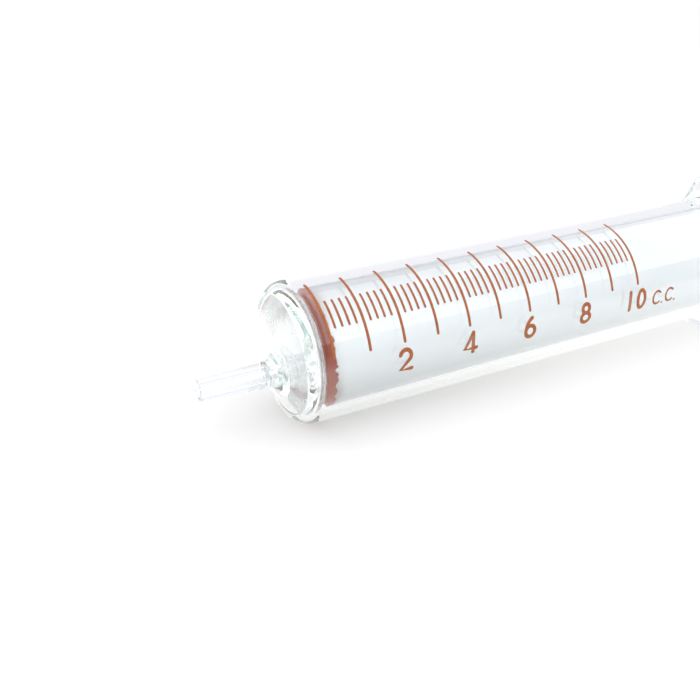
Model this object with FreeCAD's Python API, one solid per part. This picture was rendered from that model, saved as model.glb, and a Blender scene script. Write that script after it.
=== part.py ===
import FreeCAD, Part
import math
import os

from FreeCAD import Vector

# All-glass syringe of 10 c.c. with a ground-glass plunger, its plunger pushed right home.
# Every piece is modelled along the barrel's own axis, in millimetres: X = 0 is the zero mark of the
# scale, +X runs from the nozzle to the finger flange, +Z is away from the table and -Y is the side of
# the scale. place_on_table then lays the whole syringe down, at rest on its front shoulder and on the
# lower ear of its flange, with Z = 0 on the table and the origin under the middle of its box.

# Capacity and scale
cubic_centimetre = 1000.0
capacity_steps = 10
marks_per_step = 5
bore_diameter = 16.0
mark_width = 0.38
enamel_thickness = 0.04
enamel_lift = 0.002
scale_turn = 43.9
long_mark_arc = 68.7
short_mark_arc = 23.9

# Barrel
barrel_wall = 1.55
front_wall = 1.75
bore_ahead_of_zero = 2.0
shoulder_radius = 2.5
bore_end_bevel = 0.8
scale_to_flange = 25.3

# Nozzle, a slip cone a little below the barrel's axis
nozzle_length = 10.9
nozzle_tip_diameter = 2.9
nozzle_taper = 0.06
nozzle_drop = 2.1
nozzle_flare_radius = 2.2
nozzle_edge_bevel = 0.25
nozzle_root_depth = 0.8
channel_diameter = 1.3
channel_mouth_diameter = 3.2
channel_mouth_depth = 0.9

# Finger flange: a rim bead round the barrel's mouth with two opposite ears and a melted collar before it
flange_thickness = 3.2
flange_edge_bevel = 0.9
rim_height = 0.7
ear_span = 26.4
ear_width = 9.8
ear_corner_radius = 2.6
ear_root_radius = 3.0
ear_hollow = 0.08
collar_length = 1.8
mouth_bevel = 0.6

# Plunger, a hollow ground piston closed at both ends, with a thumb button
plunger_clearance = 0.03
plunger_wall = 1.35
plunger_front_wall = 1.9
plunger_front_gap = 0.1
plunger_front_bevel = 0.8
plunger_cavity_bevel = 1.8
plunger_body_showing = 8.0
plunger_shoulder_radius = 3.0
plunger_shoulder_length = 3.2
neck_diameter = 11.0
neck_length = 3.0
neck_fillet_radius = 1.4
button_diameter = 21.6
button_thickness = 5.0
button_edge_radius = 2.2
button_front_bevel = 1.2

# Brown band, fused into a shallow groove round the plunger and centred on the zero mark
band_width = 1.6
band_depth = 0.15

# Working allowances
cut_overrun = 1.0
same_place = 1e-6
near_enough = 1e-3

# Values worked out from the sizes above
bore_radius = bore_diameter / 2
barrel_radius = bore_radius + barrel_wall
step_length = cubic_centimetre / (math.pi * bore_radius ** 2)
scale_length = capacity_steps * step_length
bore_end = -bore_ahead_of_zero
front_face = bore_end - front_wall
flange_front = scale_length + scale_to_flange
mouth = flange_front + flange_thickness
plunger_radius = bore_radius - plunger_clearance
plunger_front = bore_end + plunger_front_gap
plunger_body_end = mouth + plunger_body_showing
axis_direction = Vector(1, 0, 0)


def rounded_face(corners):
    """Face in the XZ plane through corners (x, z, rounding radius), with tangent arcs at rounded ones."""
    points = [Vector(x, 0, z) for x, z, radius in corners]
    arcs = []
    for index, here in enumerate(points):
        radius = corners[index][2]
        if not radius:
            arcs.append((here, None, here))
            continue
        back = (points[index - 1] - here).normalize()
        ahead = (points[(index + 1) % len(points)] - here).normalize()
        half_angle = back.getAngle(ahead) / 2
        bisector = (back + ahead).normalize()
        reach = radius / math.tan(half_angle)
        middle = here + bisector * (radius / math.sin(half_angle) - radius)
        arcs.append((here + back * reach, middle, here + ahead * reach))
    edges = []
    for index, (start, middle, end) in enumerate(arcs):
        if middle:
            edges.append(Part.Arc(start, middle, end).toBSpline().toShape())
        following = arcs[(index + 1) % len(arcs)][0]
        if end.distanceToPoint(following) > same_place:
            edges.append(Part.LineSegment(end, following).toShape())
    return Part.Face(Part.Wire(edges))


def turned(corners, axis_height=0.0):
    """Solid of revolution about a line along X at the given height, from its half section."""
    face = rounded_face([(x, axis_height + radius, rounding) for x, radius, rounding in corners])
    return face.revolve(Vector(0, 0, axis_height), axis_direction, 360)


def edges_along_axis(shape, distance):
    """Edges parallel to X at the given distance from the axis."""
    chosen = []
    for edge in shape.Edges:
        start, end = edge.Vertexes[0].Point, edge.Vertexes[-1].Point
        sideways = math.hypot(start.y - end.y, start.z - end.z)
        along_axis = sideways < same_place and abs(start.x - end.x) > near_enough
        if along_axis and abs(math.hypot(start.y, start.z) - distance) < near_enough:
            chosen.append(edge)
    return chosen


def ear_end_hollows():
    """Two wide rollers that press the ears' ends a little hollow, so that each end stands on its two sides."""
    half_flat = ear_width / 2 - ear_corner_radius
    roller_radius = (half_flat ** 2 + ear_hollow ** 2) / (2 * ear_hollow)
    height = ear_span / 2 - ear_hollow + roller_radius
    bottoms = [Vector(flange_front, 0, side * height) for side in (-1, 1)]
    return [Part.makeCylinder(roller_radius, flange_thickness, bottom, axis_direction) for bottom in bottoms]


def finger_flange():
    """Rim bead and two ears, one above and one below, with bevelled edges and the collar before the bead."""
    rim_radius = barrel_radius + rim_height
    rim = Part.makeCylinder(rim_radius, flange_thickness, Vector(flange_front, 0, 0), axis_direction)
    corner = Vector(flange_front, -ear_width / 2, -ear_span / 2)
    ears = Part.makeBox(flange_thickness, ear_width, ear_span, corner)
    ears = ears.makeFillet(ear_corner_radius, edges_along_axis(ears, math.hypot(ear_width, ear_span) / 2))
    plate = rim.fuse(ears).removeSplitter()
    plate = plate.makeFillet(ear_root_radius, edges_along_axis(plate, rim_radius))
    outline = [e for e in plate.Edges if e.BoundBox.XLength < same_place]
    bevelled = plate.makeChamfer(flange_edge_bevel, outline)
    collar = turned(
        [
            (flange_front - collar_length, 0, 0),
            (flange_front - collar_length, barrel_radius, 0),
            (flange_front + flange_edge_bevel, rim_radius, 0),
            (flange_front + flange_edge_bevel, 0, 0),
        ]
    )
    return bevelled.cut(ear_end_hollows()).fuse(collar)


def nozzle():
    """Tapered nozzle with a melted tip, flared into the front of the barrel."""
    tip = front_face - nozzle_length
    tip_radius = nozzle_tip_diameter / 2
    root = front_face + nozzle_root_depth
    root_radius = tip_radius + nozzle_taper / 2 * nozzle_length
    return turned(
        [
            (tip, 0, 0),
            (tip, tip_radius - nozzle_edge_bevel, 0),
            (tip + nozzle_edge_bevel, tip_radius, 0),
            (front_face, root_radius, nozzle_flare_radius),
            (front_face, root_radius + nozzle_flare_radius, 0),
            (root, root_radius, 0),
            (root, 0, 0),
        ],
        -nozzle_drop,
    )


def channel():
    """Way through the nozzle, opening into the end of the bore through a small funnel."""
    channel_radius = channel_diameter / 2
    tip = front_face - nozzle_length
    return turned(
        [
            (tip - cut_overrun, 0, 0),
            (tip - cut_overrun, channel_radius, 0),
            (bore_end - channel_mouth_depth, channel_radius, 0),
            (bore_end, channel_mouth_diameter / 2, 0),
            (bore_end + cut_overrun, channel_mouth_diameter / 2, 0),
            (bore_end + cut_overrun, 0, 0),
        ],
        -nozzle_drop,
    )


def barrel():
    """Tube with a blown front, nozzle and finger flange, all one piece of glass."""
    body = turned(
        [
            (front_face, 0, 0),
            (front_face, barrel_radius, shoulder_radius),
            (mouth, barrel_radius, 0),
            (mouth, 0, 0),
        ]
    )
    bore = turned(
        [
            (bore_end, 0, 0),
            (bore_end, bore_radius - bore_end_bevel, 0),
            (bore_end + bore_end_bevel, bore_radius, 0),
            (mouth - mouth_bevel, bore_radius, 0),
            (mouth, bore_radius + mouth_bevel, 0),
            (mouth + cut_overrun, bore_radius + mouth_bevel, 0),
            (mouth + cut_overrun, 0, 0),
        ]
    )
    return body.fuse([finger_flange(), nozzle()]).cut([bore, channel()]).removeSplitter()


def plunger():
    """Hollow piston with a clear closed front, a neck and a thumb button."""
    neck_start = plunger_body_end + plunger_shoulder_length
    neck_end = neck_start + neck_length
    button_end = neck_end + button_thickness
    groove_radius = plunger_radius - band_depth
    neck_radius = neck_diameter / 2
    button_radius = button_diameter / 2
    outside = turned(
        [
            (plunger_front, 0, 0),
            (plunger_front, plunger_radius - plunger_front_bevel, 0),
            (plunger_front + plunger_front_bevel, plunger_radius, 0),
            (-band_width / 2, plunger_radius, 0),
            (-band_width / 2, groove_radius, 0),
            (band_width / 2, groove_radius, 0),
            (band_width / 2, plunger_radius, 0),
            (plunger_body_end, plunger_radius, plunger_shoulder_radius),
            (neck_start, neck_radius, neck_fillet_radius),
            (neck_end, neck_radius, 0),
            (neck_end, button_radius - button_front_bevel, 0),
            (neck_end + button_front_bevel, button_radius, 0),
            (button_end, button_radius, button_edge_radius),
            (button_end, 0, 0),
        ]
    )
    cavity_front = plunger_front + plunger_front_wall
    cavity_radius = plunger_radius - plunger_wall
    cavity = turned(
        [
            (cavity_front, 0, 0),
            (cavity_front, cavity_radius - plunger_cavity_bevel, 0),
            (cavity_front + plunger_cavity_bevel, cavity_radius, 0),
            (plunger_body_end - plunger_cavity_bevel, cavity_radius, 0),
            (plunger_body_end, cavity_radius - plunger_cavity_bevel, 0),
            (plunger_body_end, 0, 0),
        ]
    )
    return outside.cut(cavity)


def plunger_band():
    """Ring of brown enamel that fills the groove in the plunger."""
    start = Vector(-band_width / 2, 0, 0)
    ring = Part.makeCylinder(plunger_radius, band_width, start, axis_direction)
    core = Part.makeCylinder(plunger_radius - band_depth, band_width, start, axis_direction)
    return ring.cut(core)


def mark(position, arc):
    """Enamel stroke round part of the barrel at one place of the scale, a low ridge on the glass."""
    low, high = barrel_radius + enamel_lift, barrel_radius + enamel_thickness
    left, right = position - mark_width / 2, position + mark_width / 2
    section = rounded_face([(left, low, 0), (right, low, 0), (position, high, 0)])
    # The section stands at the top of the barrel. Turning it about +X by a positive angle carries it to -Y.
    section.rotate(Vector(0, 0, 0), axis_direction, scale_turn - arc / 2)
    return section.revolve(Vector(0, 0, 0), axis_direction, arc)


def long_graduations():
    """One long mark for each cubic centimetre, the zero mark among them."""
    return Part.makeCompound([mark(step * step_length, long_mark_arc) for step in range(capacity_steps + 1)])


def short_graduations():
    """Short marks between the long ones."""
    spacing = step_length / marks_per_step
    places = [n for n in range(capacity_steps * marks_per_step) if n % marks_per_step]
    return Part.makeCompound([mark(n * spacing, short_mark_arc) for n in places])


def resting_tilt():
    """Angle of the axis to the table when the rounded shoulder and the lower ear's bevel both touch it."""
    shoulder = (front_face + shoulder_radius, shoulder_radius - barrel_radius)
    ear = (flange_front + flange_edge_bevel, -ear_span / 2)
    run, drop = ear[0] - shoulder[0], shoulder[1] - ear[1]
    return math.atan2(drop, run) - math.asin(shoulder_radius / math.hypot(run, drop))


def place_on_table(pieces):
    """Turns every piece by the resting tilt, then brings the whole down to Z = 0 over the origin."""
    tilt = math.degrees(resting_tilt())
    for piece in pieces.values():
        piece.rotate(Vector(0, 0, 0), Vector(0, 1, 0), -tilt)
    box = Part.makeCompound(list(pieces.values())).optimalBoundingBox(False, False)
    shift = Vector(-box.Center.x, 0, -box.ZMin)
    for piece in pieces.values():
        piece.translate(shift)
    print("tilt", round(tilt, 5), "degrees, zero mark at", [round(v, 5) for v in shift])


pieces = {
    "barrel": barrel(),
    "long_graduations": long_graduations(),
    "short_graduations": short_graduations(),
    "plunger": plunger(),
    "plunger_band": plunger_band(),
}
place_on_table(pieces)

os.makedirs("parts", exist_ok=True)
for name, piece in pieces.items():
    piece.exportStep(os.path.join("parts", name + ".step"))
    box = piece.BoundBox
    corners = [round(v, 2) for v in (box.XMin, box.YMin, box.ZMin, box.XMax, box.YMax, box.ZMax)]
    state = "valid" if piece.isValid() else "NOT VALID"
    print(name, state, "solids", len(piece.Solids), "volume", round(piece.Volume, 2), "box", corners)
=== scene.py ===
import math

import bpy
from mathutils import Matrix, Vector, noise


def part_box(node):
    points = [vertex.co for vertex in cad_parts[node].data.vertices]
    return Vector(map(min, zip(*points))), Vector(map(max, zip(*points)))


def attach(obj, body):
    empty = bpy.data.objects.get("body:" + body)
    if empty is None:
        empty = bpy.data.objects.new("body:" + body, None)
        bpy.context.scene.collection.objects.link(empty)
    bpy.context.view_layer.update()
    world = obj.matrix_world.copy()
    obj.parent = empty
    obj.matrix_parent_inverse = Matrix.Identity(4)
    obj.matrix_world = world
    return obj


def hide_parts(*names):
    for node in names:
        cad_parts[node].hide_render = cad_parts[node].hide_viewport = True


# All-glass syringe of 10 c.c. lying on a white table, its ground plunger pushed right home.
# Sizes are in millimetres along the barrel's own axis: X = 0 is the zero mark, +X runs from the nozzle
# to the finger flange, angles go round from the top of the barrel towards the scale (-Y).
# on_table() carries such a place to the frame, in metres.

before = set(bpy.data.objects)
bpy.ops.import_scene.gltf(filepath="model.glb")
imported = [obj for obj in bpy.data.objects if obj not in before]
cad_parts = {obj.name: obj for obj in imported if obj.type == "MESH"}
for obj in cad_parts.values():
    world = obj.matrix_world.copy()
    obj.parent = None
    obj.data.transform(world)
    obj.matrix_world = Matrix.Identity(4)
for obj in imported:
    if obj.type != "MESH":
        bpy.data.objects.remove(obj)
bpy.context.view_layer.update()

MM = 0.001

# Scale
capacity_steps = 10
marks_per_step = 5
cubic_centimetre = 1000.0
scale_turn = math.radians(43.9)
long_mark_arc = math.radians(68.7)
short_mark_arc = math.radians(23.9)
mark_width = 0.40
short_mark_width = 0.33
enamel_height = 0.035
scale_seed = 7

# Numerals and unit mark, their feet at an arc from the top of the barrel
numeral_height = 3.3
numeral_foot = 16.95
numeral_stroke = 0.57
numeral_gap = 0.75
unit_height = 2.35
unit_foot = 16.9
unit_stroke = 0.34
unit_gap = 0.2
unit_past_last_mark = 3.05

# Barrel
bore_radius = 8.0
barrel_wall = 1.55
front_wall = 2.3
bore_ahead_of_zero = 1.45
bore_end_radius = 0.4
floor_bulge = 0.45
scale_to_flange = 25.3
mouth_radius = 0.7

# Blown front: a low dome, then a shoulder that leads off along the dome and leans over to the tube
dome_edge = 8.0
dome_rise = 0.45
dome_length = 2.75
shoulder_lead = 0.8
shoulder_lean = 0.9
shoulder_radius = 2.5

# Uneven glass round the nozzle's root, where it was worked by hand
worked_height = 0.10
worked_mean = 0.5
worked_reach = 3.4
worked_margin = 0.3
worked_grain = (0.5, 0.45, 0.45)

# Nozzle
nozzle_length = 10.9
nozzle_tip_radius = 1.45
nozzle_taper = 0.06
nozzle_drop = 2.1
nozzle_flare_radius = 2.2
nozzle_edge_radius = 0.3
channel_radius = 0.65
channel_edge_radius = 0.18
channel_edge_start = 0.19
channel_edge_end = 0.2
channel_mouth_radius = 1.6
channel_mouth_depth = 0.9
channel_mouth_ledge = 0.5
channel_mouth_edge_radius = 0.35
channel_throat_radius = 0.5

# Finger flange
flange_thickness = 3.2
flange_edge = 1.3
flange_edge_share = 0.5
flange_melt = 1.5
flange_melt_share = 0.45
flange_edge_bevel = 0.9
rim_height = 0.7
ear_span = 26.4
ear_width = 9.8
ear_corner_radius = 2.6
ear_root_radius = 3.0

# Plunger
plunger_clearance = 0.03
plunger_wall = 1.35
plunger_front_wall = 1.9
plunger_front_gap = 0.1
plunger_front_radius = 0.35
plunger_cavity_radius = 2.6
plunger_body_showing = 8.0
plunger_shoulder_radius = 3.0
plunger_shoulder_length = 3.2
neck_radius = 5.5
neck_length = 3.0
neck_fillet_radius = 1.4
button_radius = 10.8
button_thickness = 5.0
button_front_radius = 1.6
button_edge_radius = 2.2

# Brown band: places across it, and how far fine teeth and slow waves move its two edges
band_width = 1.6
band_depth = 0.17
band_proud = 0.005
band_edge_fall = 0.03
band_rear_margin = 0.15
band_sections = (0.0, 0.06, 0.25, 0.5, 0.75, 0.94, 1.0)
band_teeth_round = 24
band_waves_round = 6
band_front_unevenness = (0.05, 0.05)
band_rear_unevenness = (0.4, 0.25)

# How finely round forms are drawn
around = 288
arc_steps = 12
dome_steps = 16
shoulder_steps = 40
outline_halvings = 30
guard = 0.08
bow_degrees = 9
bow_fewest_steps = 6
stroke_stations = 44
stroke_sides = 12
stroke_cap_degrees = (20, 40, 60, 78)
same_place = 1e-4

# Worked out from the sizes above
barrel_radius = bore_radius + barrel_wall
step_length = cubic_centimetre / (math.pi * bore_radius ** 2)
bore_end = -bore_ahead_of_zero
floor_middle = bore_end - floor_bulge
front_face = bore_end - front_wall
tip = front_face - nozzle_length
nozzle_root_radius = nozzle_tip_radius + nozzle_taper / 2 * nozzle_length
nozzle_flare_end = nozzle_root_radius + nozzle_flare_radius
flange_front = capacity_steps * step_length + scale_to_flange
mouth = flange_front + flange_thickness
plunger_radius = bore_radius - plunger_clearance
plunger_front = bore_end + plunger_front_gap
plunger_body_end = mouth + plunger_body_showing
neck_start = plunger_body_end + plunger_shoulder_length
neck_end = neck_start + neck_length
button_end = neck_end + button_thickness

# Glass. Each zone runs from where it starts to where it is full.
glass_index = 1.5
glass_depth_tone = (0.62, 0.80, 0.74, 1)
clear_tone = (0.985, 0.995, 0.99, 1)
clear_density = 9.0
clear_shadow = (0.94, 0.94, 0.93, 1)
# Painted shade: a greyer glass tone over the front and the nozzle
nozzle_shade_tone = (0.925, 0.945, 0.955, 1)
nozzle_shade_zone = (front_face + 1.0, front_face - 1.0)
drawn_stretch = (0.02, 0.35, 0.35)
drawn_detail = 1.5
drawn_strength = 0.2
drawn_height = 0.00004
handled_zone = (0.45, 0.75)
handled_roughness = (0.0, 0.02)
polished_tone = (0.96, 0.975, 0.98, 1)
ground_tone = (0.87, 0.885, 0.905, 1)
ground_density = 12.0
ground_roughness = (0.5, 0.62)
ground_grain = 0.9
ground_rear = (plunger_body_end - 3.2, plunger_body_end - 3.8)
ground_front = (-0.9, -0.7)
ground_ahead_of_band = 0.25
ground_skin = (plunger_radius - 0.5, plunger_radius - 0.3)
front_zone = (-1.1, -1.3)
front_share = 0.5
front_stroke_turn = (0.5, 0, 0)
front_stroke_stretch = (1.0, 1.8, 0.35)
front_stroke_roughness = 0.65
front_stroke_strength = 0.8
front_stroke_height = 0.0006
shadow_zone = (5.0, 45.0)
shadow_shade = (0.84, 0.97)
fine_detail = 3.0

# Enamel
enamel_thin = (0.50, 0.165, 0.060, 1)
enamel_thick = (0.375, 0.105, 0.036, 1)
enamel_in_bore = (0.345, 0.050, 0.009, 1)
in_bore_zone = (8.1, 8.0)
enamel_specular = 0.25
enamel_roughness = (0.35, 0.5)
enamel_cloud = 1.6
enamel_cloud_detail = 4.0
enamel_cloud_roughness = 0.6
enamel_cloud_zone = (0.3, 0.7)

# White table, in metres, and how far it is lifted to the white of the room; the lift beside the syringe, seen
# through the glass, is painted light
table_half = 1.5
table_tone = (0.86, 0.86, 0.86, 1)
table_roughness = 0.9
table_specular = 0.1
beside_zone = (0.008, 0.018)
beside_lift = (0.33, 0.75)
aside_zone = (0.03, 0.08)
aside_lift = (1.0, 0.05)
past_flange_zone = (0.06, 0.10)
past_flange_lift = (1.0, 0.0)
far_zone = (0.15, 0.9)
far_lift = (0.20, 0.9)

# Room
white = (1, 1, 1, 1)
horizon_tone = (0.92, 0.92, 0.96, 1)
ceiling_tone = (0.92, 0.91, 0.97, 1)
ceiling_zone = (0.05, 0.5)
camera_side_tone = (0.79, 0.82, 0.88, 1)
camera_side_zone = (0.1, 0.8)
room_light = (0.46, 0.46, 0.475, 1)

# Softbox, in metres
softbox_radiance = 1.15
softbox_distance = 1.5
softbox_height = math.radians(74.5)
softbox_half_width = math.radians(49.5)
softbox_length = 4.0
softbox_ahead = 1.3

# Camera
camera_lens = 42.31
camera_sensor = 36.0
camera_reach = (0.005, 10.0)
camera_place = (-83.24, -91.29, 48.99)
camera_aim = (0.43739, 0.82149, -0.36586)

# How often light may pass or bounce on its way through the glass
glass_bounces = 160
see_through_bounces = 48


def resting_tilt():
    """Angle of the axis to the table when the rounded shoulder and the lower ear's bevel both touch it."""
    run = flange_front + flange_edge_bevel - front_face - shoulder_radius
    drop = ear_span / 2 - barrel_radius + shoulder_radius
    return math.atan2(drop, run) - math.asin(shoulder_radius / math.hypot(run, drop))


band_low, band_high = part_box("plunger_band")
zero_mark = (band_low + band_high) / 2
tilt = resting_tilt()
lie_down = Matrix.Translation(zero_mark) @ Matrix.Rotation(-tilt, 4, "Y")


def on_table(points):
    """Places along the axis, in millimetres, as places in the frame, in metres."""
    return [lie_down @ (Vector(p) * MM) for p in points]


def on_barrel(x, arc, radius=barrel_radius):
    """Place over the barrel's outside: x along the axis, arc length round it from the top to the scale."""
    angle = arc / barrel_radius
    return Vector((x, -radius * math.sin(angle), radius * math.cos(angle)))


# Surfaces from rings of places

turns = [2 * math.pi * index / around for index in range(around)]


def off_axis(x, reach, angle, height=0.0):
    """Place at a reach and an angle from the axis, or from a line at a height over it."""
    return x, reach * math.sin(angle), height + reach * math.cos(angle)


def ring(x, radius, height=0.0):
    """Round ring of places about the axis, or about a line at a height over it."""
    return [off_axis(x, radius, angle, height) for angle in turns]


def rounded(corners):
    """Section through corners (x, radius, rounding), with each rounding drawn as an arc."""
    places = [Vector((x, radius)) for x, radius, rounding in corners]
    section = []
    for index, here in enumerate(places):
        rounding = corners[index][2]
        if not rounding:
            section.append(here)
            continue
        back = (places[index - 1] - here).normalized()
        ahead = (places[index + 1] - here).normalized()
        half = back.angle(ahead) / 2
        centre = here + (back + ahead).normalized() * (rounding / math.sin(half))
        first = here + back * (rounding / math.tan(half)) - centre
        last = here + ahead * (rounding / math.tan(half)) - centre
        start = math.atan2(first.y, first.x)
        sweep = (math.atan2(last.y, last.x) - start + math.pi) % (2 * math.pi) - math.pi
        for step in range(arc_steps + 1):
            angle = start + sweep * step / arc_steps
            section.append(centre + Vector((math.cos(angle), math.sin(angle))) * rounding)
    return section


def guarded(section):
    """The section with a place close to each end of its long runs, so that they shade straight."""
    result = []
    for here, following in zip(section, section[1:]):
        result.append(here)
        run = following - here
        if run.length > 4 * guard:
            step = run.normalized() * guard
            result += [here + step, following - step]
    return result + [section[-1]]


def turned(corners, height=0.0):
    """Rings of a turned form."""
    return [ring(place.x, place.y, height) for place in guarded(rounded(corners))]


def between(x, first_radius, first_height, last_radius, last_height, bulge):
    """Rings that pass from one circle to another, over a dome that is level at the smaller one."""
    rings = []
    for step in range(1, dome_steps):
        share = step / dome_steps
        radius = first_radius + (last_radius - first_radius) * share
        height = first_height + (last_height - first_height) * share
        outward = share if last_radius > first_radius else 1 - share
        rings.append(ring(x + bulge * outward ** 2, radius, height))
    return rings


def skin(mesh_parts, rings, closed=False):
    """Adds the faces between rings, with a ring of one place as a pole. Normals point left of the run."""
    vertices, faces = mesh_parts
    starts = []
    for places in rings:
        starts.append((len(vertices), len(places)))
        vertices.extend(places)
    pairs = list(zip(starts, starts[1:]))
    if closed:
        pairs.append((starts[-1], starts[0]))
    for (first, count), (second, following) in pairs:
        for index in range(around):
            beside = (index + 1) % around
            if count == 1:
                faces.append((first, second + index, second + beside))
            elif following == 1:
                faces.append((first + index, second, first + beside))
            else:
                faces.append((first + index, second + index, second + beside, first + beside))


def piece(name, vertices, faces, material, body, slot):
    """Smooth mesh piece in place on the table, riding on its body."""
    mesh = bpy.data.meshes.new(name)
    mesh.from_pydata(on_table(vertices), [], faces)
    mesh.materials.append(material)
    mesh.polygons.foreach_set("use_smooth", [True] * len(mesh.polygons))
    mesh.update()
    made = bpy.data.objects.new(name, mesh)
    bpy.context.scene.collection.objects.link(made)
    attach(made, body)
    return made


# Barrel


def flange_outline(angle):
    """Reach of the flange at an angle from the top: rim bead and two ears, blended where they meet."""

    def depth(reach):
        across, up = abs(reach * math.sin(angle)), abs(reach * math.cos(angle))
        over_across = across - (ear_width / 2 - ear_corner_radius)
        over_up = up - (ear_span / 2 - ear_corner_radius)
        outside = math.hypot(max(over_across, 0), max(over_up, 0))
        ear = outside + min(max(over_across, over_up), 0) - ear_corner_radius
        rim = reach - barrel_radius - rim_height
        blend = math.hypot(max(ear_root_radius - ear, 0), max(ear_root_radius - rim, 0))
        return max(ear_root_radius, min(ear, rim)) - blend

    near, far = barrel_radius, ear_span
    for halving in range(outline_halvings):
        middle = (near + far) / 2
        if depth(middle) < 0:
            near = middle
        else:
            far = middle
    return near


def flange_section(reach):
    """Section at one reach: melted collar, the flange's two outer edges, the mouth's edge into the bore."""
    melt = min(flange_melt, flange_melt_share * (reach - barrel_radius))
    edge = min(flange_edge, flange_edge_share * (reach - barrel_radius))
    quarter = []
    for step in range(arc_steps + 1):
        angle = math.pi / 2 * step / arc_steps
        quarter.append((1 - math.cos(angle), 1 - math.sin(angle)))
    collar = [(flange_front - flange_melt * fall, barrel_radius + melt * rise) for rise, fall in quarter]
    front_edge = [(flange_front + flange_edge * rise, reach - edge * fall) for rise, fall in quarter]
    rear_edge = [(mouth - flange_edge * fall, reach - edge * rise) for rise, fall in quarter]
    inner_edge = [(mouth - mouth_radius * rise, bore_radius + mouth_radius * fall) for rise, fall in quarter]
    return collar + front_edge + rear_edge + inner_edge


def flange_rings():
    """Rings from the tube over the flange and its mouth into the bore."""
    sections = [flange_section(flange_outline(angle)) for angle in turns]
    rings = []
    for row in zip(*sections):
        rings.append([off_axis(x, reach, angle) for (x, reach), angle in zip(row, turns)])
    return rings


def blown_shoulder():
    """Rings of the blown front's outer part, which curves ever more towards the tube."""
    lead = Vector((2 * dome_rise / (dome_edge - nozzle_flare_end), 1)) * shoulder_lead
    first = Vector((front_face + dome_rise, dome_edge))
    third = Vector((front_face + dome_rise + shoulder_lean, barrel_radius))
    last = Vector((front_face + dome_length, barrel_radius))
    rings = []
    for step in range(shoulder_steps + 1):
        t = step / shoulder_steps
        s = 1 - t
        place = first * s ** 3 + (first + lead) * 3 * t * s ** 2 + third * 3 * t ** 2 * s + last * t ** 3
        rings.append(ring(place.x, place.y))
    return rings


def worked_front(vertices):
    """The front is blown and worked by hand, so its outside is a little uneven round the nozzle's root."""
    result = []
    for x, y, z in vertices:
        if front_face - nozzle_flare_radius < x < front_face + worked_margin:
            swirl = noise.noise(Vector(value * grain for value, grain in zip((x, y, z), worked_grain)))
            nearness = math.exp(-(math.hypot(y, z + nozzle_drop) / worked_reach) ** 2)
            x += worked_height * nearness * (worked_mean + swirl)
        result.append((x, y, z))
    return result


def barrel(material):
    """Clear tube with a blown front, nozzle, channel and finger flange, one closed surface."""
    nozzle = [
        (tip, channel_radius + channel_edge_end, 0),
        (tip, nozzle_tip_radius, nozzle_edge_radius),
        (front_face, nozzle_root_radius, nozzle_flare_radius),
        (front_face, nozzle_flare_end + guard, 0),
    ]
    tube = [
        (front_face + dome_length + guard, barrel_radius, 0),
        (flange_front - flange_melt - guard, barrel_radius, 0),
    ]
    bore_floor = bore_radius - bore_end_radius - guard
    bore = [
        (mouth - mouth_radius - guard, bore_radius, 0),
        (bore_end, bore_radius, bore_end_radius),
        (bore_end, bore_floor, 0),
    ]
    channel_start = channel_mouth_radius + channel_mouth_ledge
    channel = [
        (floor_middle, channel_start, 0),
        (floor_middle, channel_mouth_radius, channel_mouth_edge_radius),
        (floor_middle - channel_mouth_depth, channel_radius, channel_throat_radius),
        (tip, channel_radius, channel_edge_radius),
        (tip, channel_radius + channel_edge_start, 0),
    ]
    rings = turned(nozzle, -nozzle_drop)
    rings += between(front_face, nozzle_flare_end + guard, -nozzle_drop, dome_edge, 0, dome_rise)
    rings += blown_shoulder() + turned(tube) + flange_rings() + turned(bore)
    rings += between(floor_middle, bore_floor, 0, channel_start, -nozzle_drop, floor_bulge)
    rings += turned(channel, -nozzle_drop)
    vertices, faces = [], []
    skin((vertices, faces), rings, closed=True)
    made = piece("clear_barrel", worked_front(vertices), faces, material, "barrel_body", "clear_glass")
    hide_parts("barrel")


# Plunger


def plunger(material):
    """Hollow piston with a neck and a thumb button, its air cavity closed."""
    tip_middle = plunger_front - floor_bulge
    level = plunger_radius - 2 * plunger_front_radius
    outside = [ring(tip_middle, guard)] + between(tip_middle, guard, 0, level, 0, floor_bulge)
    outside += turned(
        [
            (plunger_front, level, 0),
            (plunger_front, plunger_radius, plunger_front_radius),
            (plunger_body_end, plunger_radius, plunger_shoulder_radius),
            (neck_start, neck_radius, neck_fillet_radius),
            (neck_end, neck_radius, neck_fillet_radius),
            (neck_end, button_radius, button_front_radius),
            (button_end, button_radius, button_edge_radius),
            (button_end, guard, 0),
        ]
    )
    cavity_front = plunger_front + plunger_front_wall
    cavity_radius = plunger_radius - plunger_wall
    inside = turned(
        [
            (plunger_body_end, guard, 0),
            (plunger_body_end, cavity_radius, plunger_cavity_radius),
            (cavity_front, cavity_radius, plunger_cavity_radius),
            (cavity_front, guard, 0),
        ]
    )
    vertices, faces = [], []
    skin((vertices, faces), [[(tip_middle, 0, 0)]] + outside + [[(button_end, 0, 0)]])
    skin((vertices, faces), [[(plunger_body_end, 0, 0)]] + inside + [[(cavity_front, 0, 0)]])
    made = piece("ground_plunger", vertices, faces, material, "plunger_body", "ground_glass")
    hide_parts("plunger")


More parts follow.
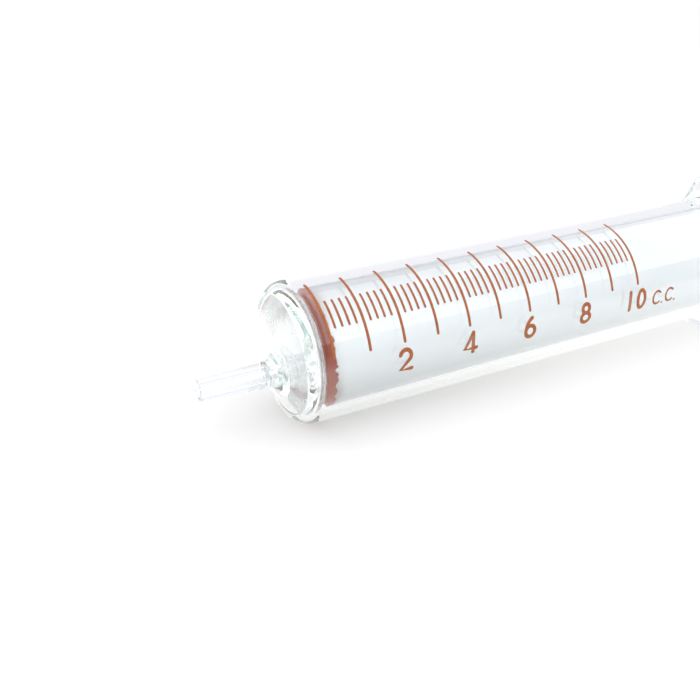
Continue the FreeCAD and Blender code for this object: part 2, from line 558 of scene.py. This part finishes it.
def reading_band(material):
    """Brown enamel fused round the plunger, with a clean front edge and a ragged rear one, as brushed on."""

    def edge(angle, place, unevenness):
        swing = Vector((math.cos(angle), math.sin(angle), 0))
        teeth = noise.noise(swing * band_teeth_round + Vector((0, 0, place)))
        waves = noise.noise(swing * band_waves_round)
        return place + unevenness[0] * teeth + unevenness[1] * waves

    outer = plunger_radius + band_proud
    lowered = outer - band_edge_fall
    edges = []
    for angle in turns:
        front = edge(angle, -band_width / 2, band_front_unevenness)
        edges.append((front, edge(angle, band_width / 2 - band_rear_margin, band_rear_unevenness)))
    rings = []
    for share in band_sections:
        reach = lowered if share in (0.0, 1.0) else outer
        along = [front + (rear - front) * share for front, rear in edges]
        rings.append([off_axis(x, reach, angle) for x, angle in zip(along, turns)])
    sunk = (plunger_radius - band_depth) / lowered
    rings += [[(x, y * sunk, z * sunk) for x, y, z in places] for places in (rings[-1], rings[0])]
    vertices, faces = [], []
    skin((vertices, faces), rings, closed=True)
    made = piece("brown_band", vertices, faces, material, "plunger_body", "brown_enamel")
    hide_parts("plunger_band")


# Node trees


class Tree:
    """Adds nodes to a node tree, with their inputs set or linked."""

    def __init__(self, tree):
        self.nodes, self.links = tree.nodes, tree.links

    def feed(self, socket, source):
        """Links a socket to its source, or sets it to a plain value."""
        if isinstance(source, bpy.types.NodeSocket):
            self.links.new(source, socket)
        else:
            socket.default_value = source

    def add(self, kind, sources=None, **settings):
        """New node, its sources keyed by the name or the number of an input."""
        made = self.nodes.new(kind)
        for key, value in settings.items():
            setattr(made, key, value)
        for key, source in (sources or {}).items():
            self.feed(made.inputs[key], source)
        return made

    def maths(self, operation, first, second=0.0):
        """Result of a sum on one or two values."""
        return self.add("ShaderNodeMath", {0: first, 1: second}, operation=operation).outputs[0]

    def ranged(self, value, zone, reach=(0.0, 1.0)):
        """The value carried from a zone to a reach of numbers, and kept inside it."""
        ends = {"From Min": zone[0], "From Max": zone[1], "To Min": reach[0], "To Max": reach[1]}
        return self.add("ShaderNodeMapRange", {"Value": value, **ends}).outputs[0]

    def mixed(self, share, first, second):
        """Colour between two others."""
        return self.add("ShaderNodeMix", {0: share, 6: first, 7: second}, data_type="RGBA").outputs[2]


# Fired scale


def graduation_tree():
    """Node tree that lays fired strokes with round ends round the barrel, one at each place of the scale."""
    group = bpy.data.node_groups.new("fired_graduations", "GeometryNodeTree")
    inputs = {}
    for name, kind, value in (
        ("Marks", "NodeSocketInt", capacity_steps + 1),
        ("Spacing", "NodeSocketFloat", step_length * MM),
        ("Leave Out Every", "NodeSocketInt", 0),
        ("Barrel Radius", "NodeSocketFloat", barrel_radius * MM),
        ("Arc", "NodeSocketFloat", long_mark_arc),
        ("Turn", "NodeSocketFloat", scale_turn),
        ("Stroke Width", "NodeSocketFloat", mark_width * MM),
        ("Stroke Height", "NodeSocketFloat", enamel_height * MM),
        ("Unevenness", "NodeSocketFloat", 0.0),
        ("Seed", "NodeSocketInt", scale_seed),
        ("Enamel", "NodeSocketMaterial", None),
    ):
        socket = group.interface.new_socket(name, in_out="INPUT", socket_type=kind)
        if value is not None:
            socket.default_value = value
        inputs[name] = socket.identifier
    group.interface.new_socket("Geometry", in_out="OUTPUT", socket_type="NodeSocketGeometry")
    tree = Tree(group)
    add, maths = tree.add, tree.maths
    given = add("NodeGroupInput").outputs

    # One stroke: a line bent round the barrel, closer drawn towards its ends
    line = add("GeometryNodeCurvePrimitiveLine")
    spread = add("GeometryNodeResampleCurve", {"Curve": line.outputs[0], "Count": stroke_stations})
    along = maths("DIVIDE", add("GeometryNodeSplineParameter").outputs["Index"], stroke_stations - 1)
    swing = maths("SINE", maths("MULTIPLY", maths("SUBTRACT", along, 0.5), math.pi))
    half_arc = maths("MULTIPLY", given["Arc"], 0.5)
    angle = maths("ADD", given["Turn"], maths("MULTIPLY", swing, half_arc))
    sideways = maths("MULTIPLY", maths("SINE", angle), -1.0)
    outward = add("ShaderNodeCombineXYZ", {"X": 0.0, "Y": sideways, "Z": maths("COSINE", angle)}).outputs[0]
    place = add("ShaderNodeVectorMath", {0: outward, "Scale": given["Barrel Radius"]}, operation="SCALE")
    bent = add("GeometryNodeSetPosition", {"Geometry": spread.outputs[0], "Position": place.outputs[0]})
    faced = add("GeometryNodeSetCurveNormal", {"Curve": bent.outputs[0], "Normal": outward}, mode="FREE")

    # Its ends close in a half circle
    half_length = maths("MULTIPLY", half_arc, given["Barrel Radius"])
    half_width = maths("MULTIPLY", given["Stroke Width"], 0.5)
    to_end = maths("SUBTRACT", half_length, maths("MULTIPLY", maths("ABSOLUTE", swing), half_length))
    short_of = maths("SUBTRACT", 1.0, maths("MINIMUM", maths("DIVIDE", to_end, half_width), 1.0))
    closing = maths("SUBTRACT", 1.0, maths("MULTIPLY", short_of, short_of))
    closing = maths("SQRT", maths("MAXIMUM", closing, 0.0))
    bead = add("GeometryNodeCurvePrimitiveCircle", {"Resolution": stroke_sides, "Radius": 1.0})
    size = add("ShaderNodeCombineXYZ", {"X": given["Stroke Height"], "Y": half_width, "Z": 1.0})
    flat = add("GeometryNodeTransform", {"Geometry": bead.outputs[0], "Scale": size.outputs[0]})
    drawn = {"Curve": faced.outputs[0], 1: flat.outputs[0], "Scale": closing, "Fill Caps": True}
    stroke = add("GeometryNodeCurveToMesh", drawn)

    # The places of the scale, the long marks' places left out of the short ones
    offset = add("ShaderNodeCombineXYZ", {"X": given["Spacing"]})
    row = {"Count": given["Marks"], "Offset": offset.outputs[0]}
    places = add("GeometryNodeMeshLine", row, mode="OFFSET")
    index = add("GeometryNodeInputIndex").outputs[0]
    whole = maths("MODULO", index, maths("MAXIMUM", given["Leave Out Every"], 1.0))
    taken = add("FunctionNodeCompare", {0: whole, 1: 0.5}, data_type="FLOAT", operation="LESS_THAN")
    leave_out = {0: given["Leave Out Every"], 1: 0.5}
    wanted = add("FunctionNodeCompare", leave_out, data_type="FLOAT", operation="GREATER_THAN")
    both = add("FunctionNodeBooleanMath", {0: taken.outputs[0], 1: wanted.outputs[0]}, operation="AND")
    long_places = {"Geometry": places.outputs[0], "Selection": both.outputs[0]}
    thinned = add("GeometryNodeDeleteGeometry", long_places, domain="POINT")

    # Each stroke may sit off its place along the barrel, by up to the unevenness given
    ends = {0: (-1.0, 0.0, 0.0), 1: (1.0, 0.0, 0.0), "Seed": given["Seed"], "ID": index}
    shift = add("FunctionNodeRandomValue", ends, data_type="FLOAT_VECTOR")
    hair = add("ShaderNodeVectorMath", {0: shift.outputs[0], "Scale": given["Unevenness"]}, operation="SCALE")
    moved = add("GeometryNodeSetPosition", {"Geometry": thinned.outputs[0], "Offset": hair.outputs[0]})
    strokes = add("GeometryNodeInstanceOnPoints", {"Points": moved.outputs[0], "Instance": stroke.outputs[0]})
    real = add("GeometryNodeRealizeInstances", {"Geometry": strokes.outputs[0]})
    smooth = add("GeometryNodeSetShadeSmooth", {"Geometry": real.outputs[0]})
    fired = add("GeometryNodeSetMaterial", {"Geometry": smooth.outputs[0], "Material": given["Enamel"]})
    add("NodeGroupOutput", {0: fired.outputs[0]})
    return group, inputs


def graduations(name, node_name, material, **values):
    """Plain mesh of strokes from the tree, laid on the table."""
    group, inputs = graduation_tree()
    carrier = bpy.data.objects.new(name + "_tree", bpy.data.meshes.new(name + "_tree"))
    bpy.context.scene.collection.objects.link(carrier)
    modifier = carrier.modifiers.new("marks", "NODES")
    modifier.node_group = group
    modifier[inputs["Enamel"]] = material
    for key, value in values.items():
        modifier[inputs[key.replace("_", " ")]] = value
    depsgraph = bpy.context.evaluated_depsgraph_get()
    mesh = bpy.data.meshes.new_from_object(carrier.evaluated_get(depsgraph))
    mesh.name = name
    mesh.transform(lie_down)
    bpy.data.objects.remove(carrier)
    made = bpy.data.objects.new(name, mesh)
    bpy.context.scene.collection.objects.link(made)
    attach(made, "barrel_body")
    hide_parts(node_name)


def bow(x, y, across, up, first, last):
    """Stroke along part of an ellipse, angles in degrees anticlockwise from the right."""
    steps = max(bow_fewest_steps, int(abs(last - first) / bow_degrees))
    angles = [math.radians(first + (last - first) * step / steps) for step in range(steps + 1)]
    return [(x + across * math.cos(a), y + up * math.sin(a)) for a in angles]


# Each character one unit high: its centre lines, drawn as with a round-nosed pen, and its width
characters = {
    "0": ([bow(0.27, 0.5, 0.25, 0.5, 90, 450)], 0.54),
    "1": ([[(0.05, 1.0), (0.05, 0.0)]], 0.1),
    "2": ([bow(0.3, 0.7, 0.29, 0.3, 165, -35) + [(0.02, 0.0), (0.62, 0.0)]], 0.64),
    "4": ([[(0.5, 1.0), (0.0, 0.2), (0.68, 0.2)], [(0.5, 1.0), (0.5, 0.0)]], 0.68),
    "6": ([bow(0.62, 0.3, 0.6, 0.75, 112, 180), bow(0.3, 0.3, 0.28, 0.3, 180, 540)], 0.6),
    "8": ([bow(0.3, 0.76, 0.22, 0.24, -90, 270), bow(0.3, 0.26, 0.28, 0.26, -90, 270)], 0.6),
    "C": ([bow(0.42, 0.5, 0.4, 0.5, 48, 312)], 0.7),
    ".": ([[(0.0, 0.0), (0.02, 0.0)]], 0.04),
}


def pen_stroke(mesh_parts, line, width):
    """Fired stroke along a line of (x, arc) places: a low rounded bead with round ends."""
    vertices, faces = mesh_parts
    closed = (Vector(line[0]) - Vector(line[-1])).length < same_place
    points = [Vector(p) for p in (line[:-1] if closed else line)]
    stations = []
    for index, here in enumerate(points):
        before = points[index - 1] if closed or index else here
        after = points[(index + 1) % len(points)] if closed or index + 1 < len(points) else here
        stations.append((here, (after - before).normalized(), 1.0))
    if not closed:
        caps = [math.radians(a) for a in stroke_cap_degrees]
        start, ahead = stations[0][:2]
        end, onward = stations[-1][:2]
        head = [(start - ahead * (width / 2 * math.sin(a)), ahead, math.cos(a)) for a in reversed(caps)]
        tail = [(end + onward * (width / 2 * math.sin(a)), onward, math.cos(a)) for a in caps]
        stations = head + stations + tail
    first = len(vertices)
    for here, heading, scale in stations:
        side = Vector((-heading.y, heading.x))
        for step in range(stroke_sides):
            angle = 2 * math.pi * step / stroke_sides
            place = here + side * (width / 2 * scale * math.cos(angle))
            radius = barrel_radius + enamel_height * scale * math.sin(angle)
            vertices.append(on_barrel(place.x, place.y, radius))
    rows = len(stations)
    for row in range(rows if closed else rows - 1):
        here, following = first + row * stroke_sides, first + (row + 1) % rows * stroke_sides
        for step in range(stroke_sides):
            beside = (step + 1) % stroke_sides
            faces.append((here + step, here + beside, following + beside, following + step))
    if not closed:
        last = first + (rows - 1) * stroke_sides
        faces.append(tuple(first + step for step in reversed(range(stroke_sides))))
        faces.append(tuple(last + step for step in range(stroke_sides)))


def write(mesh_parts, text, x, foot, height, stroke, gap):
    """Writes characters along the barrel from x, their feet at an arc from its top."""
    tall = height - stroke
    for character in text:
        lines, width = characters[character]
        for line in lines:
            placed = [(x + stroke / 2 + px * tall, foot - stroke / 2 - py * tall) for px, py in line]
            pen_stroke(mesh_parts, placed, stroke)
        x += width * tall + stroke + gap


def numerals(material):
    """Even numbers beside their long marks and the unit after the last."""
    mesh_parts = [], []
    for number in range(2, capacity_steps + 1, 2):
        text = str(number)
        tall = numeral_height - numeral_stroke
        width = sum(characters[c][1] * tall + numeral_stroke for c in text) + numeral_gap * (len(text) - 1)
        start = number * step_length - width / 2
        write(mesh_parts, text, start, numeral_foot, numeral_height, numeral_stroke, numeral_gap)
    start = capacity_steps * step_length + unit_past_last_mark
    write(mesh_parts, "C.C.", start, unit_foot, unit_height, unit_stroke, unit_gap)
    piece("fired_numerals", *mesh_parts, material, "barrel_body", "brown_enamel")


# Materials


def new_material(name):
    """Material with a Principled shader and an output, and the tree that they are in."""
    material = bpy.data.materials.new(name)
    material.use_nodes = True
    tree = Tree(material.node_tree)
    return material, tree.nodes["Principled BSDF"], tree.nodes["Material Output"], tree


def syringe_place_group():
    """Node group: where a point of the object lies along the syringe's axis and off it, in millimetres."""
    group = bpy.data.node_groups.new("place_on_syringe", "ShaderNodeTree")
    for name, kind in (("Place", "Vector"), ("Along", "Float"), ("Off Axis", "Float")):
        group.interface.new_socket(name, in_out="OUTPUT", socket_type="NodeSocket" + kind)
    tree = Tree(group)
    point = tree.add("ShaderNodeTexCoord").outputs["Object"]
    lying = {"Vector": point, "Location": zero_mark, "Rotation": (0, -tilt, 0), "Scale": (MM, MM, MM)}
    place = tree.add("ShaderNodeMapping", lying, vector_type="TEXTURE").outputs[0]
    split = tree.add("ShaderNodeSeparateXYZ", {0: place}).outputs
    across = tree.add("ShaderNodeCombineXYZ", {"Y": split["Y"], "Z": split["Z"]}).outputs[0]
    length = tree.add("ShaderNodeVectorMath", {0: across}, operation="LENGTH").outputs["Value"]
    tree.add("NodeGroupOutput", {"Place": place, "Along": split["X"], "Off Axis": length})
    return group


def see_through_shadow(shader, output, tree, shade):
    """Lets lamp light and bounced light pass the glass with a little loss, so that its shadow stays soft."""
    path = tree.add("ShaderNodeLightPath").outputs
    either = tree.maths("MAXIMUM", path["Is Shadow Ray"], path["Is Diffuse Ray"])
    film = tree.add("ShaderNodeBsdfTransparent", {"Color": shade}).outputs[0]
    mix = tree.add("ShaderNodeMixShader", {0: either, 1: shader.outputs[0], 2: film})
    tree.feed(output.inputs["Surface"], mix.outputs[0])


def glass(name, density):
    """Glass material with its depth of colour, and its place on the syringe for what varies over it."""
    material, shader, output, tree = new_material(name)
    shader.inputs["IOR"].default_value = glass_index
    shader.inputs["Transmission Weight"].default_value = 1.0
    depth = tree.add("ShaderNodeVolumeAbsorption", {"Color": glass_depth_tone, "Density": density})
    tree.feed(output.inputs["Volume"], depth.outputs[0])
    return material, shader, output, tree, tree.add("ShaderNodeGroup", node_tree=syringe_place).outputs


def clear_glass():
    """Drawn and blown clear glass, faintly green where it is looked at lengthways, and given a greyer tone
    over its front and nozzle as painted shade.
    """
    material, shader, output, tree, place = glass("clear_glass", clear_density)
    # Painted shade: the front and the nozzle get a greyer glass tone, standing in for the grey shading they
    # take from their surroundings.
    at_front = tree.ranged(place["Along"], nozzle_shade_zone)
    tree.feed(shader.inputs["Base Color"], tree.mixed(at_front, clear_tone, nozzle_shade_tone))
    drawn = tree.add("ShaderNodeMapping", {"Vector": place["Place"], "Scale": drawn_stretch}).outputs[0]
    noisy = tree.add("ShaderNodeTexNoise", {"Vector": drawn, "Scale": 1.0, "Detail": drawn_detail})
    streaks = noisy.outputs["Fac"]
    tree.feed(shader.inputs["Roughness"], tree.ranged(streaks, handled_zone, handled_roughness))
    relief = {"Height": streaks, "Strength": drawn_strength, "Distance": drawn_height}
    tree.feed(shader.inputs["Normal"], tree.add("ShaderNodeBump", relief).outputs[0])
    see_through_shadow(shader, output, tree, clear_shadow)
    return material


def ground_glass():
    """Glass ground matt on the piston, clear at the front, on the neck and on the button."""
    material, shader, output, tree, place = glass("ground_glass", ground_density)
    before_shoulder = tree.ranged(place["Along"], ground_rear)
    behind_band = tree.ranged(place["Along"], ground_front, (ground_ahead_of_band, 1.0))
    outer = tree.ranged(place["Off Axis"], ground_skin)
    ground = tree.maths("MULTIPLY", tree.maths("MULTIPLY", behind_band, before_shoulder), outer)
    tree.feed(shader.inputs["Base Color"], tree.mixed(ground, polished_tone, ground_tone))
    front = tree.ranged(place["Along"], front_zone, (0.0, front_share))
    texture = {"Vector": place["Place"], "Scale": ground_grain, "Detail": fine_detail}
    grain = tree.add("ShaderNodeTexNoise", texture).outputs["Fac"]
    matt = tree.ranged(grain, (0.0, 1.0), ground_roughness)
    rough = tree.maths("MULTIPLY", tree.maths("MAXIMUM", ground, front), matt)
    tree.feed(shader.inputs["Roughness"], rough)
    turned_over = {"Vector": place["Place"], "Rotation": front_stroke_turn, "Scale": front_stroke_stretch}
    strokes = tree.add("ShaderNodeMapping", turned_over).outputs[0]
    texture = {"Vector": strokes, "Scale": 1.0, "Detail": fine_detail, "Roughness": front_stroke_roughness}
    streaks = tree.add("ShaderNodeTexNoise", texture).outputs["Fac"]
    at_front = tree.maths("MULTIPLY", streaks, front)
    relief = {"Height": at_front, "Strength": front_stroke_strength, "Distance": front_stroke_height}
    tree.feed(shader.inputs["Normal"], tree.add("ShaderNodeBump", relief).outputs[0])
    see_through_shadow(shader, output, tree, tree.ranged(place["Along"], shadow_zone, shadow_shade))
    return material


def brown_enamel():
    """Red-brown enamel fired on the glass: a little uneven in depth, softly glossy."""
    material, shader, output, tree = new_material("brown_enamel")
    place = tree.add("ShaderNodeGroup", node_tree=syringe_place).outputs
    texture = {"Vector": place["Place"], "Scale": enamel_cloud, "Detail": enamel_cloud_detail}
    texture["Roughness"] = enamel_cloud_roughness
    cloud = tree.add("ShaderNodeTexNoise", texture).outputs["Fac"]
    colour = tree.mixed(tree.ranged(cloud, enamel_cloud_zone), enamel_thin, enamel_thick)
    in_bore = tree.ranged(place["Off Axis"], in_bore_zone)
    tree.feed(shader.inputs["Base Color"], tree.mixed(in_bore, colour, enamel_in_bore))
    shader.inputs["Specular IOR Level"].default_value = enamel_specular
    tree.feed(shader.inputs["Roughness"], tree.ranged(cloud, (0.0, 1.0), enamel_roughness))
    return material


def table_white():
    """Matt white table. Seen directly or through the glass it glows, lifted to the white of the room; beside
    the syringe the glow that the glass sees is painted light over its shadow.
    """
    material, shader, output, tree = new_material("white_table")
    shader.inputs["Base Color"].default_value = table_tone
    shader.inputs["Roughness"].default_value = table_roughness
    shader.inputs["Specular IOR Level"].default_value = table_specular
    path = tree.add("ShaderNodeLightPath").outputs
    point = tree.add("ShaderNodeTexCoord").outputs["Object"]
    split = tree.add("ShaderNodeSeparateXYZ", {0: point}).outputs

    # What the glass sees: painted light, a little more white glow beside the syringe where its shadow falls,
    # less far aside and past the flange
    aside = tree.maths("ABSOLUTE", split["Y"])
    beside = tree.ranged(aside, beside_zone, beside_lift)
    near = tree.maths("MULTIPLY", beside, tree.ranged(aside, aside_zone, aside_lift))
    near = tree.maths("MULTIPLY", near, tree.ranged(split["X"], past_flange_zone, past_flange_lift))
    by_glass = tree.maths("MAXIMUM", path["Is Transmission Ray"], path["Is Glossy Ray"])
    through_glass = tree.maths("MULTIPLY", by_glass, near)

    # What is seen directly: whiter and whiter with the distance, so that no horizon shows
    distance = tree.add("ShaderNodeVectorMath", {0: point}, operation="LENGTH").outputs["Value"]
    seen = tree.maths("MULTIPLY", path["Is Camera Ray"], tree.ranged(distance, far_zone, far_lift))
    lift = {"Color": white, "Strength": tree.maths("MAXIMUM", through_glass, seen)}
    glow = tree.add("ShaderNodeEmission", lift).outputs[0]
    both = tree.add("ShaderNodeAddShader", {0: shader.outputs[0], 1: glow})
    tree.feed(output.inputs["Surface"], both.outputs[0])
    return material


# Table, light and camera


def table(material):
    """Flat white table that reaches far behind the syringe."""
    corners = [(-table_half, -table_half, 0), (table_half, -table_half, 0)]
    corners += [(table_half, table_half, 0), (-table_half, table_half, 0)]
    mesh = bpy.data.meshes.new("table")
    mesh.from_pydata(corners, [], [(0, 1, 2, 3)])
    mesh.materials.append(material)
    made = bpy.data.objects.new("table", mesh)
    bpy.context.scene.collection.objects.link(made)


def softbox():
    """Long lamp that lies along the syringe, above it and a little to the side of its scale."""
    data = bpy.data.lights.new("softbox", "AREA")
    data.shape = "RECTANGLE"
    data.size, data.size_y = softbox_length, 2 * softbox_distance * math.tan(softbox_half_width)
    data.energy = softbox_radiance * math.pi * data.size * data.size_y
    lamp = bpy.data.objects.new("softbox", data)
    aside, up = -softbox_distance * math.cos(softbox_height), softbox_distance * math.sin(softbox_height)
    lamp.location = (softbox_ahead, aside, up)
    lamp.rotation_euler = (math.pi / 2 - softbox_height, 0, 0)
    bpy.context.scene.collection.objects.link(lamp)


def room():
    """White room. As light it is plainer, and glass sees it lavender overhead and dim behind the camera."""
    world = bpy.data.worlds.new("white_room")
    bpy.context.scene.world = world
    world.use_nodes = True
    tree = Tree(world.node_tree)
    path = tree.add("ShaderNodeLightPath").outputs
    towards = tree.add("ShaderNodeTexCoord").outputs["Generated"]
    height = tree.add("ShaderNodeSeparateXYZ", {0: towards}).outputs["Z"]
    sky = tree.mixed(tree.ranged(height, ceiling_zone), horizon_tone, ceiling_tone)
    backward = {0: towards, 1: [-v for v in camera_aim]}
    behind = tree.add("ShaderNodeVectorMath", backward, operation="DOT_PRODUCT").outputs["Value"]
    around_glass = tree.mixed(tree.ranged(behind, camera_side_zone), sky, camera_side_tone)
    as_light = tree.mixed(path["Is Diffuse Ray"], around_glass, room_light)
    seen = tree.mixed(path["Is Camera Ray"], as_light, white)
    tree.feed(tree.nodes["Background"].inputs["Color"], seen)


def camera():
    """Camera at the photograph's viewing angle, level, looking along the syringe from its nozzle."""
    data = bpy.data.cameras.new("camera")
    data.lens = camera_lens
    data.sensor_width = camera_sensor
    data.clip_start, data.clip_end = camera_reach
    made = bpy.data.objects.new("camera", data)
    made.location = Vector(camera_place) * MM
    made.rotation_euler = Vector(camera_aim).to_track_quat("-Z", "Y").to_euler()
    bpy.context.scene.collection.objects.link(made)
    bpy.context.scene.camera = made


scene = bpy.context.scene
scene.view_settings.view_transform = "Standard"
scene.cycles.max_bounces = glass_bounces
scene.cycles.transmission_bounces = glass_bounces
scene.cycles.glossy_bounces = glass_bounces
scene.cycles.transparent_max_bounces = see_through_bounces

syringe_place = syringe_place_group()
enamel = brown_enamel()
barrel(clear_glass())
plunger(ground_glass())
reading_band(enamel)
graduations("long_marks", "long_graduations", enamel, Marks=capacity_steps + 1, Arc=long_mark_arc)
graduations(
    "short_marks",
    "short_graduations",
    enamel,
    Marks=capacity_steps * marks_per_step,
    Spacing=step_length * MM / marks_per_step,
    Leave_Out_Every=marks_per_step,
    Arc=short_mark_arc,
    Stroke_Width=short_mark_width * MM,
)
numerals(enamel)
table(table_white())
room()
camera()
softbox()
